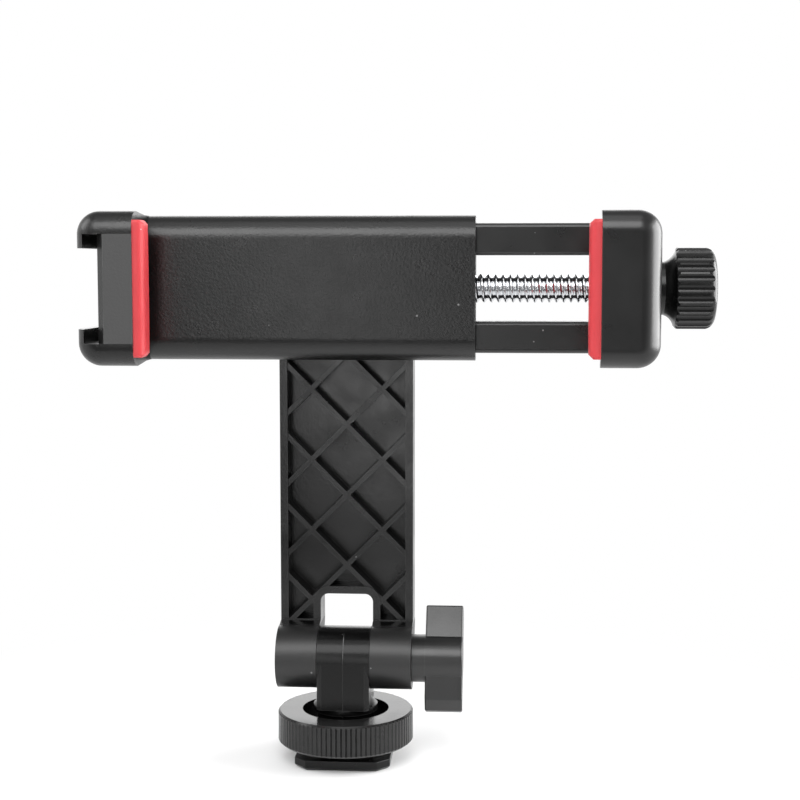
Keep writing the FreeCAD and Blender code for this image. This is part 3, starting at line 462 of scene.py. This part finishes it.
def make_zone_group():
    labels = ("Middle X", "Middle Y", "Middle Z", "Half X", "Half Y", "Half Z")
    inputs = {label: 0.01 for label in labels}
    inputs["Softness"] = 0.1 * MM
    group, start, end = new_group("place_zone", inputs, ["Mask"])
    parts = add(group, "SeparateXYZ")
    group.links.new(object_place(group), parts.inputs[0])
    mask = None
    for axis in "XYZ":
        offset = math_node(group, "SUBTRACT", parts.outputs[axis], start.outputs["Middle " + axis])
        away = math_node(group, "ABSOLUTE", offset)
        inside = math_node(group, "SUBTRACT", start.outputs["Half " + axis], away)
        step = math_node(group, "DIVIDE", inside, start.outputs["Softness"], clamp=True)
        mask = step if mask is None else math_node(group, "MULTIPLY", mask, step)
    group.links.new(mask, end.inputs["Mask"])
    return group


ZONE = make_zone_group()
print("Group:", ZONE.name)

# %% [markdown]
# A material starts from Blender's Principled shader. These helpers place a group in it, mix two colours or
# two values by a mask, and turn a height into the bump that every finish here has.

# %% Helpers for materials


def new_material(name):
    material = bpy.data.materials.new(name)
    material.use_nodes = True
    return material, material.node_tree, material.node_tree.nodes["Principled BSDF"]


def place_group(tree, group, **values):
    node = tree.nodes.new("ShaderNodeGroup")
    node.node_tree = group
    for label, value in values.items():
        node.inputs[label.replace("_", " ")].default_value = value
    return node


def colour_mix(tree, mask, base, over):
    """A colour that goes from base to over by mask. Either may be a colour or a socket."""
    mix = add(tree, "Mix", data_type="RGBA")
    tree.links.new(mask, mix.inputs["Factor"])
    for label, value in (("A", base), ("B", over)):
        socket = next(s for s in mix.inputs if s.name == label and s.type == "RGBA")
        if isinstance(value, tuple):
            socket.default_value = value
        else:
            tree.links.new(value, socket)
    return next(s for s in mix.outputs if s.type == "RGBA")


def value_mix(tree, mask, base, over):
    """A value that goes from base to over by mask."""
    mix = add(tree, "Mix")
    feed(tree, mix.inputs[0], mask)
    feed(tree, mix.inputs[2], base)
    feed(tree, mix.inputs[3], over)
    return mix.outputs[0]


def bump(tree, shader, height, depth):
    """Gives the shader a bump of a depth in mm for a height of 1."""
    node = add(tree, "Bump")
    node.inputs["Distance"].default_value = depth * MM
    tree.links.new(height, node.inputs["Height"])
    tree.links.new(node.outputs["Normal"], shader.inputs["Normal"])


MATERIAL_HELPERS = (new_material, place_group, colour_mix, value_mix, bump)
print("Material helpers:", ", ".join(helper.__name__ for helper in MATERIAL_HELPERS))

# %% [markdown]
# Every plastic here is built the same way: a near-black base that dust, haze and rubbed corners lighten a
# little, a mottled polish, and a bump from the grain. Only the numbers differ from piece to piece. A piece
# may also have a zone with a skin of its own, with its own grey and polish, that may stand back by a hair.

# %% Plastic finish
EDGE_WEAR = 0.8
HAZE_LIGHTER = 0.012
HAZE_DULLER = 0.14
DUST_GREY = 0.16


def grey(level):
    return (level, level, level, 1)


def zone_mask(tree, middle, half, softness):
    """The zone group set to a box in mm."""
    node = place_group(tree, ZONE, Softness=softness * MM)
    for axis, centre, reach in zip("XYZ", middle, half):
        node.inputs["Middle " + axis].default_value = centre * MM
        node.inputs["Half " + axis].default_value = reach * MM
    return node.outputs["Mask"]


def plastic(name, level, polish, grain_depth, cells=2400.0, dust=0.1, worn=0.05, gloss=0.5, haze=0.5,
            zone=None, skin=None):
    """level is the grey of the base, polish the lowest and highest roughness, grain_depth the bump in mm.

    zone is a box as (middle, half size, softness) in mm, and skin its (level, roughness, depth in grains).
    """
    material, tree, shader = new_material(name)
    shader.inputs["Specular IOR Level"].default_value = gloss
    edges = place_group(tree, EDGES, Amount=EDGE_WEAR).outputs["Mask"]
    specks = place_group(tree, DUST, Size=dust).outputs["Mask"]
    smear = place_group(tree, HAZE, Amount=haze).outputs["Mask"]
    mottle = place_group(tree, MOTTLE, Low=polish[0], High=polish[1]).outputs["Value"]
    height = place_group(tree, GRAIN, Cells_per_metre=cells).outputs["Height"]
    base = colour_mix(tree, edges, grey(level), grey(worn))
    base = colour_mix(tree, smear, base, grey(level + HAZE_LIGHTER))
    roughness = math_node(tree, "ADD", mottle, math_node(tree, "MULTIPLY", smear, HAZE_DULLER))
    if zone:
        skin_level, skin_roughness, skin_depth = skin
        inside = zone_mask(tree, *zone)
        base = colour_mix(tree, inside, base, grey(skin_level))
        roughness = value_mix(tree, inside, roughness, skin_roughness)
        height = math_node(tree, "ADD", height, math_node(tree, "MULTIPLY", inside, -skin_depth))
    tree.links.new(colour_mix(tree, specks, base, grey(DUST_GREY)), shader.inputs["Base Color"])
    tree.links.new(roughness, shader.inputs["Roughness"])
    bump(tree, shader, height, grain_depth)
    return material


SLOT_FACE = ((-37.1, -28.5, 93.0), (2.9, 3.0, 9.75), 0.06)
SLOT_SKIN = (0.052, 0.62, 2.5)
BARRELS = ((0.0, 0.0, 20.2), (30.0, 10.0, 6.3), 0.3)
BARREL_SKIN = (0.012, 0.38, 0.0)
FINISHES = {
    "clamp_body": plastic("grained_black_tube", 0.005, (0.27, 0.32), 0.028, cells=2100.0, haze=0.08,
                          zone=SLOT_FACE, skin=SLOT_SKIN),
    "moving_jaw": plastic("satin_black_jaw", 0.006, (0.27, 0.33), 0.006, gloss=0.6, haze=0.1),
    "arm": plastic("satin_black_arm", 0.003, (0.18, 0.25), 0.01, haze=0.4, zone=BARRELS, skin=BARREL_SKIN),
    "tilt_knuckle": plastic("satin_black_knuckle", 0.003, (0.2, 0.26), 0.006, gloss=0.24),
    "lock_ring": plastic("black_ring", 0.008, (0.13, 0.19), 0.01, cells=2000.0, gloss=0.34),
    "shoe_foot": plastic("gloss_black_foot", 0.003, (0.1, 0.16), 0.005, gloss=0.22),
    "wing_knob": plastic("satin_black_wing", 0.005, (0.28, 0.34), 0.01, gloss=0.62),
    "clamp_knob": plastic("gloss_black_knob", 0.004, (0.18, 0.26), 0.006, gloss=0.42),
}
print("Plastics:", len(FINISHES))

# %% [markdown]
# The metal parts are small, and each kind has its own finish: zinc-plated steel for the fasteners and
# washers, brass for the two inserts, and bright chrome for the lead screw. The friction disc is grey pressed
# fibre. A metal's scratches have their depth in mm.

# %% Metals and fibre
TARNISH_SCALE = 400.0
TARNISH = 0.8
POLISH_SCALE = 500.0
SCRATCH_CELLS = 3000.0
FASTENERS = ("hinge_bolt", "pivot_screw", "pivot_washer", "pivot_spring_washer", "pivot_nut",
             "lead_nut", "screw_retaining_ring", "screw_thrust_washer")
INSERTS = ("tripod_insert", "wing_knob_nut")


def metal(name, colour, polish, scratch_depth):
    material, tree, shader = new_material(name)
    shader.inputs["Metallic"].default_value = 1.0
    darker = tuple(TARNISH * c for c in colour[:3]) + (1,)
    stain = noise(tree, TARNISH_SCALE, detail=3.0)
    tree.links.new(colour_mix(tree, stain, darker, colour), shader.inputs["Base Color"])
    mottle = place_group(tree, MOTTLE, Scale=POLISH_SCALE, Low=polish[0], High=polish[1])
    tree.links.new(mottle.outputs["Value"], shader.inputs["Roughness"])
    scratches = place_group(tree, GRAIN, Cells_per_metre=SCRATCH_CELLS)
    bump(tree, shader, scratches.outputs["Height"], scratch_depth)
    return material


CHROME = metal("bright_chrome", (0.82, 0.83, 0.85, 1), (0.05, 0.12), 0.002)
ZINC = metal("plated_steel", (0.4, 0.41, 0.43, 1), (0.28, 0.42), 0.006)
BRASS = metal("turned_brass", (0.78, 0.56, 0.26, 1), (0.2, 0.34), 0.006)
for name in FASTENERS:
    FINISHES[name] = ZINC
for name in INSERTS:
    FINISHES[name] = BRASS
FINISHES["pivot_friction_disc"] = plastic("pressed_fibre", 0.1, (0.7, 0.85), 0.05, cells=2600.0, worn=0.16)
print("Nodes with a finish:", len(FINISHES))

# %% [markdown]
# The pads are coral-red silicone rubber. Silicone is slightly clear, so a little light passes under its
# surface, which keeps the red warm in shade. Its face has a very fine matt texture.

# %% Silicone
DEEP_CORAL = (0.54, 0.034, 0.042, 1)
PALE_CORAL = (0.61, 0.046, 0.056, 1)
PINK_DUST = (0.8, 0.4, 0.42, 1)
CORAL_CLOUD_SCALE = 260.0
SILICONE_CELLS = 3600.0


def silicone():
    material, tree, shader = new_material("coral_silicone")
    colour = colour_mix(tree, noise(tree, CORAL_CLOUD_SCALE), DEEP_CORAL, PALE_CORAL)
    specks = place_group(tree, DUST, Size=0.06).outputs["Mask"]
    tree.links.new(colour_mix(tree, specks, colour, PINK_DUST), shader.inputs["Base Color"])
    shader.inputs["Subsurface Weight"].default_value = 0.15
    shader.inputs["Subsurface Radius"].default_value = (1.0, 0.3, 0.3)
    shader.inputs["Subsurface Scale"].default_value = 0.6 * MM
    mottle = place_group(tree, MOTTLE, Low=0.42, High=0.55)
    tree.links.new(mottle.outputs["Value"], shader.inputs["Roughness"])
    texture = place_group(tree, GRAIN, Cells_per_metre=SILICONE_CELLS)
    bump(tree, shader, texture.outputs["Height"], 0.01)
    return material


SILICONE = silicone()
print("Rubber:", SILICONE.name)

# %% [markdown]
# A moulding has no perfectly sharp corner, and it is the tiny round along each edge that catches the light.
# The CAD meshes come as separate flat patches, so Weld joins them, Decimate dissolves the flat triangles,
# and a Bevel limited by angle rounds only the true corners. Then all faces are shaded smooth and their
# normals are weighted by area, so that a flat face stays flat right up to the round beside it. These are
# modifiers, so the CAD mesh itself stays. The widths are in mm and the angles in degrees.

# %% Soften the CAD edges
SOFT_EDGES = {
    "clamp_body": 0.22,
    "moving_jaw": 0.2,
    "arm": 0.16,
    "tilt_knuckle": 0.2,
    "shoe_foot": 0.12,
}
WELD_REACH = 0.001 * MM
FLAT_ANGLE = 0.6
CORNER_ANGLE = 32
FACE_AREA_WEIGHT = 100


def make_smooth_group():
    group = bpy.data.node_groups.new("shade_smooth", "GeometryNodeTree")
    for way in ("INPUT", "OUTPUT"):
        group.interface.new_socket("Geometry", in_out=way, socket_type="NodeSocketGeometry")
    start = group.nodes.new("NodeGroupInput")
    end = group.nodes.new("NodeGroupOutput")
    faces = group.nodes.new("GeometryNodeSetShadeSmooth")
    faces.domain = "FACE"
    group.links.new(start.outputs[0], faces.inputs["Geometry"])
    group.links.new(faces.outputs["Geometry"], end.inputs[0])
    return group


SMOOTH = make_smooth_group()


def soften(node, width):
    weld = node.modifiers.new("weld", "WELD")
    weld.merge_threshold = WELD_REACH
    flatten = node.modifiers.new("flatten", "DECIMATE")
    flatten.decimate_type = "DISSOLVE"
    flatten.angle_limit = math.radians(FLAT_ANGLE)
    edge = node.modifiers.new("edge", "BEVEL")
    edge.width = width * MM
    edge.segments = 2
    edge.limit_method = "ANGLE"
    edge.angle_limit = math.radians(CORNER_ANGLE)
    edge.use_clamp_overlap = True
    node.modifiers.new("smooth", "NODES").node_group = SMOOTH
    weighted = node.modifiers.new("weighted", "WEIGHTED_NORMAL")
    weighted.weight = FACE_AREA_WEIGHT


for name, width in SOFT_EDGES.items():
    soften(nodes[name], width)
print("Softened:", len(SOFT_EDGES))

# %% [markdown]
# Each finish goes onto its CAD node by the node's name.

# %% Dress the CAD nodes
for name, material in FINISHES.items():
    mesh = nodes[name].data
    mesh.materials.clear()
    mesh.materials.append(material)
print("Dressed:", len(FINISHES))

# %% [markdown]
# The CAD screw carries plain rings in place of its thread. The real thread is one groove that winds round,
# so it is rebuilt here: the radius follows a wave along the axis that shifts by one pitch for each full
# turn. It is right-handed, as such screws are. Its sizes are in mm, and its length comes from the CAD boxes
# of the pieces that it joins.

# %% Sizes of the lead screw
SCREW_R = 2.7
ROOT_R = 2.05
TIP_R = 1.95
PITCH = 1.32
CREST_SHARE = 0.16
ROOT_SHARE = 0.16
AROUND = 64
STEPS_PER_PITCH = 16
SHARP_ANGLE = 40
JOURNAL_R = 2.0
TAIL_R = 1.9
GROOVE_R = 1.5
RING_WIDTH = 0.6
TAIL_LENGTH = 7.0
JAW_WALL = 1.8
FACE_CLEAR = 0.05
PAD_THICKNESS = 2.1

screw_low, screw_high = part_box("lead_screw")
AXIS_Y = (screw_low.y + screw_high.y) / 2 / MM
AXIS_Z = (screw_low.z + screw_high.z) / 2 / MM
SCREW_TIP = screw_low.x / MM
THREAD_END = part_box("moving_jaw_pad")[0].x / MM + PAD_THICKNESS
RING_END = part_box("moving_jaw")[1].x / MM - JAW_WALL - FACE_CLEAR
RING_START = RING_END - RING_WIDTH
KNOB_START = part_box("clamp_knob")[0].x / MM
print("Thread from", round(SCREW_TIP, 1), "to", round(THREAD_END, 1), "mm")

# %% [markdown]
# The screw is a stack of rings of points along its axis. In the thread each ring's radius changes round the
# turn, and past the thread the rings are plain: the journal, the groove of the retaining ring, and the tail
# that sits in the knob.

# %% Lead screw with a real thread


def thread_radius(along, turn):
    """Radius of the thread at a place along the screw, in mm, and a share of a turn."""
    wave = ((along - SCREW_TIP) / PITCH - turn) % 1
    climb = (1 - CREST_SHARE - ROOT_SHARE) / 2
    height = min(max((abs(wave - 0.5) * 2 - ROOT_SHARE) / (2 * climb), 0), 1)
    return min(ROOT_R + (SCREW_R - ROOT_R) * height, TIP_R + along - SCREW_TIP)


def build_turned(name, rings, material):
    """A closed mesh from rings, each a place along X in mm and a function from share of a turn to radius."""
    points = []
    for along, radius in rings:
        for i in range(AROUND):
            share = i / AROUND
            r = radius(share)
            spin = 2 * math.pi * share
            points.append(Vector((along, AXIS_Y + r * math.cos(spin), AXIS_Z + r * math.sin(spin))) * MM)
    faces = []
    for ring in range(len(rings) - 1):
        for i in range(AROUND):
            j = (i + 1) % AROUND
            a = ring * AROUND
            b = a + AROUND
            faces.append((a + i, b + i, b + j, a + j))
    faces.append(tuple(range(AROUND)))
    faces.append(tuple(reversed(range(len(points) - AROUND, len(points)))))
    mesh = bpy.data.meshes.new(name)
    mesh.from_pydata(points, [], faces)
    mesh.materials.append(material)
    mesh.shade_smooth()
    mesh.set_sharp_from_angle(angle=math.radians(SHARP_ANGLE))
    piece = bpy.data.objects.new(name, mesh)
    bpy.context.scene.collection.objects.link(piece)
    return piece


def plain(radius):
    return lambda share: radius


def winding(along):
    return lambda share: thread_radius(along, share)


def make_lead_screw():
    count = int((THREAD_END - SCREW_TIP) / PITCH * STEPS_PER_PITCH)
    rings = []
    for i in range(count + 1):
        along = SCREW_TIP + (THREAD_END - SCREW_TIP) * i / count
        rings.append((along, winding(along)))
    for along, radius in (
        (THREAD_END, JOURNAL_R),
        (RING_START, JOURNAL_R),
        (RING_START, GROOVE_R),
        (RING_END, GROOVE_R),
        (RING_END, JOURNAL_R),
        (KNOB_START, JOURNAL_R),
        (KNOB_START, TAIL_R),
        (KNOB_START + TAIL_LENGTH, TAIL_R),
    ):
        rings.append((along, plain(radius)))
    screw = build_turned("threaded_lead_screw", rings, CHROME)
    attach(screw, "screw")
    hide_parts("lead_screw")
    return screw


print("Screw faces:", len(make_lead_screw().data.polygons))

# %% [markdown]
# Where the two halves of the knuckle's mould met, they left a fine raised line down its front. It is too
# thin for the CAD model, so it is a small strip of mesh here: a low three-sided ridge that follows the stem
# upwards and then the round of the eye, sunk a little so that no gap shows under it. Its sizes are in mm,
# and its reach round the eye in degrees.

# %% Parting line of the knuckle
LINE_HALF_WIDTH = 0.22
LINE_HEIGHT = 0.1
LINE_SINK = 0.12
LINE_START = 9.6
LINE_STEPS = 40
LINE_REACH = 62
LINE_SECTION = ((-LINE_HALF_WIDTH, -LINE_SINK), (0, LINE_HEIGHT), (LINE_HALF_WIDTH, -LINE_SINK))

EYE_R = 6.1
EYE_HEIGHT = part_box("tilt_knuckle")[1].z / MM - EYE_R


def line_spine():
    """The middle of the line as (y, z) points in mm, each with the direction out of the surface there."""
    spine = [((-EYE_R, LINE_START), (-1.0, 0.0))]
    for i in range(LINE_STEPS + 1):
        lift = math.radians(LINE_REACH * i / LINE_STEPS)
        out = (-math.cos(lift), math.sin(lift))
        spine.append(((out[0] * EYE_R, EYE_HEIGHT + out[1] * EYE_R), out))
    return spine


def make_parting_line():
    points = []
    for (y, z), (out_y, out_z) in line_spine():
        for x, rise in LINE_SECTION:
            points.append(Vector((x, y + out_y * rise, z + out_z * rise)) * MM)
    faces = [(0, 2, 1), (len(points) - 3, len(points) - 2, len(points) - 1)]
    for a in range(0, len(points) - 3, 3):
        for i in range(3):
            j = (i + 1) % 3
            faces.append((a + i, a + j, a + j + 3, a + i + 3))
    mesh = bpy.data.meshes.new("knuckle_parting_line")
    mesh.from_pydata(points, [], faces)
    mesh.materials.append(FINISHES["tilt_knuckle"])
    line = bpy.data.objects.new("knuckle_parting_line", mesh)
    bpy.context.scene.collection.objects.link(line)
    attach(line, "foot")
    return line


print("Parting line faces:", len(make_parting_line().data.polygons))

# %% [markdown]
# The pads are soft, so the CAD blocks are replaced. Each pad is a thick rounded plate whose face is very
# slightly crowned, with round sides and a bevel across each end. A grid of points gives it, so the crown
# and the bevels are one height formula. The pegs that hold the real one are out of sight in the jaw, and
# stay in the CAD model alone. These sizes are in mm too.

# %% Shape of a pad
PAD_ROWS = 24
PAD_COLUMNS = 8
EDGE_STEPS = 6
EDGE_CROWDING = 1.6
PAD_CROWN = 0.12
PAD_RIM = 0.55
END_BEVEL = 0.75
SIDE_ROUND = 1.5
SIDE_DROP = 1.3
CORNER_R = 0.5
PAD_SHARP_ANGLE = 50


def spaced(low, high, edge, count):
    """Places from low to high, closer together along both edges."""
    near_edge = [edge * (i / EDGE_STEPS) ** EDGE_CROWDING for i in range(EDGE_STEPS)]
    inner = [low + edge + (high - low - 2 * edge) * i / count for i in range(count + 1)]
    return [low + step for step in near_edge] + inner + [high - step for step in reversed(near_edge)]


def pad_height(y, z, low, high):
    """How far the pad's face stands off the jaw at a point, in mm."""
    across = min(y - low.y, high.y - y)
    along = min(z - low.z, high.z - z)
    side = 1 - min(max(across / SIDE_ROUND, 0), 1)
    end = 1 - min(max(along / END_BEVEL, 0), 1)
    middle_y = (y - (low.y + high.y) / 2) / ((high.y - low.y) / 2)
    middle_z = (z - (low.z + high.z) / 2) / ((high.z - low.z) / 2)
    crown = PAD_CROWN * (middle_y ** 2 + middle_z ** 2) / 2
    side_drop = SIDE_DROP * (1 - math.sqrt(1 - side ** 2))
    end_drop = END_BEVEL * end
    return max(PAD_THICKNESS - crown - math.hypot(side_drop, end_drop), PAD_RIM)


def rounded_corner(y, z, low, high):
    """Pulls a point near a corner in, so that the corners are round."""
    cy = min(max(y, low.y + CORNER_R), high.y - CORNER_R)
    cz = min(max(z, low.z + CORNER_R), high.z - CORNER_R)
    away = Vector((0, y - cy, z - cz))
    if away.length == 0:
        return y, z
    scale = max(abs(away.y), abs(away.z)) / away.length
    return cy + away.y * scale, cz + away.z * scale


def grid_quads(wide, tall, first, flipped):
    """Quads between the points of a grid whose first point has the given number."""
    quads = []
    for r in range(tall - 1):
        for c in range(wide - 1):
            a = first + r * wide + c
            quad = (a, a + 1, a + wide + 1, a + wide)
            quads.append(quad[::-1] if flipped else quad)
    return quads


def rim_quads(wide, tall, flipped):
    """Quads that join the rims of two such grids, one right after the other."""
    rim = list(range(wide))
    rim += [r * wide + wide - 1 for r in range(1, tall)]
    rim += [(tall - 1) * wide + c for c in range(wide - 2, -1, -1)]
    rim += [r * wide for r in range(tall - 2, 0, -1)]
    above = wide * tall
    quads = []
    for i, a in enumerate(rim):
        b = rim[(i + 1) % len(rim)]
        quad = (a, b, above + b, above + a)
        quads.append(quad[::-1] if flipped else quad)
    return quads


print("Pad thickness:", PAD_THICKNESS, "mm")

# %% [markdown]
# One function makes both pads. Each has a flat back grid on its jaw and a shaped front grid, joined round
# the rim, and looks along X to the side given as toward. It replaces its block, which is hidden.

# %% Pads


def make_pad(node, name, body, toward):
    low, high = (Vector(corner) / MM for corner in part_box(node))
    face_x = high.x if toward > 0 else low.x
    root_x = face_x - toward * PAD_THICKNESS
    ys = spaced(low.y, high.y, SIDE_ROUND, PAD_COLUMNS)
    zs = spaced(low.z, high.z, END_BEVEL, PAD_ROWS)
    points = []
    for level in (0, 1):
        for z in zs:
            for y in ys:
                rise = level * pad_height(y, z, low, high)
                points.append(Vector((root_x + toward * rise, *rounded_corner(y, z, low, high))) * MM)
    wide = len(ys)
    tall = len(zs)
    faces = grid_quads(wide, tall, 0, toward > 0)
    faces += grid_quads(wide, tall, wide * tall, toward < 0)
    faces += rim_quads(wide, tall, toward < 0)
    mesh = bpy.data.meshes.new(name)
    mesh.from_pydata(points, [], faces)
    mesh.materials.append(SILICONE)
    mesh.shade_smooth()
    mesh.set_sharp_from_angle(angle=math.radians(PAD_SHARP_ANGLE))
    pad = bpy.data.objects.new(name, mesh)
    bpy.context.scene.collection.objects.link(pad)
    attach(pad, body)
    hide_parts(node)
    return pad


fixed_pad = make_pad("fixed_jaw_pad", "fixed_jaw_rubber", "clamp", 1)
moving_pad = make_pad("moving_jaw_pad", "moving_jaw_rubber", "moving_jaw", -1)
print("Pad faces:", len(fixed_pad.data.polygons), "and", len(moving_pad.data.polygons))

# %% [markdown]
# Last, the colours are shown as written: the Standard view leaves them alone.

# %% Finish
bpy.context.scene.view_settings.view_transform = "Standard"
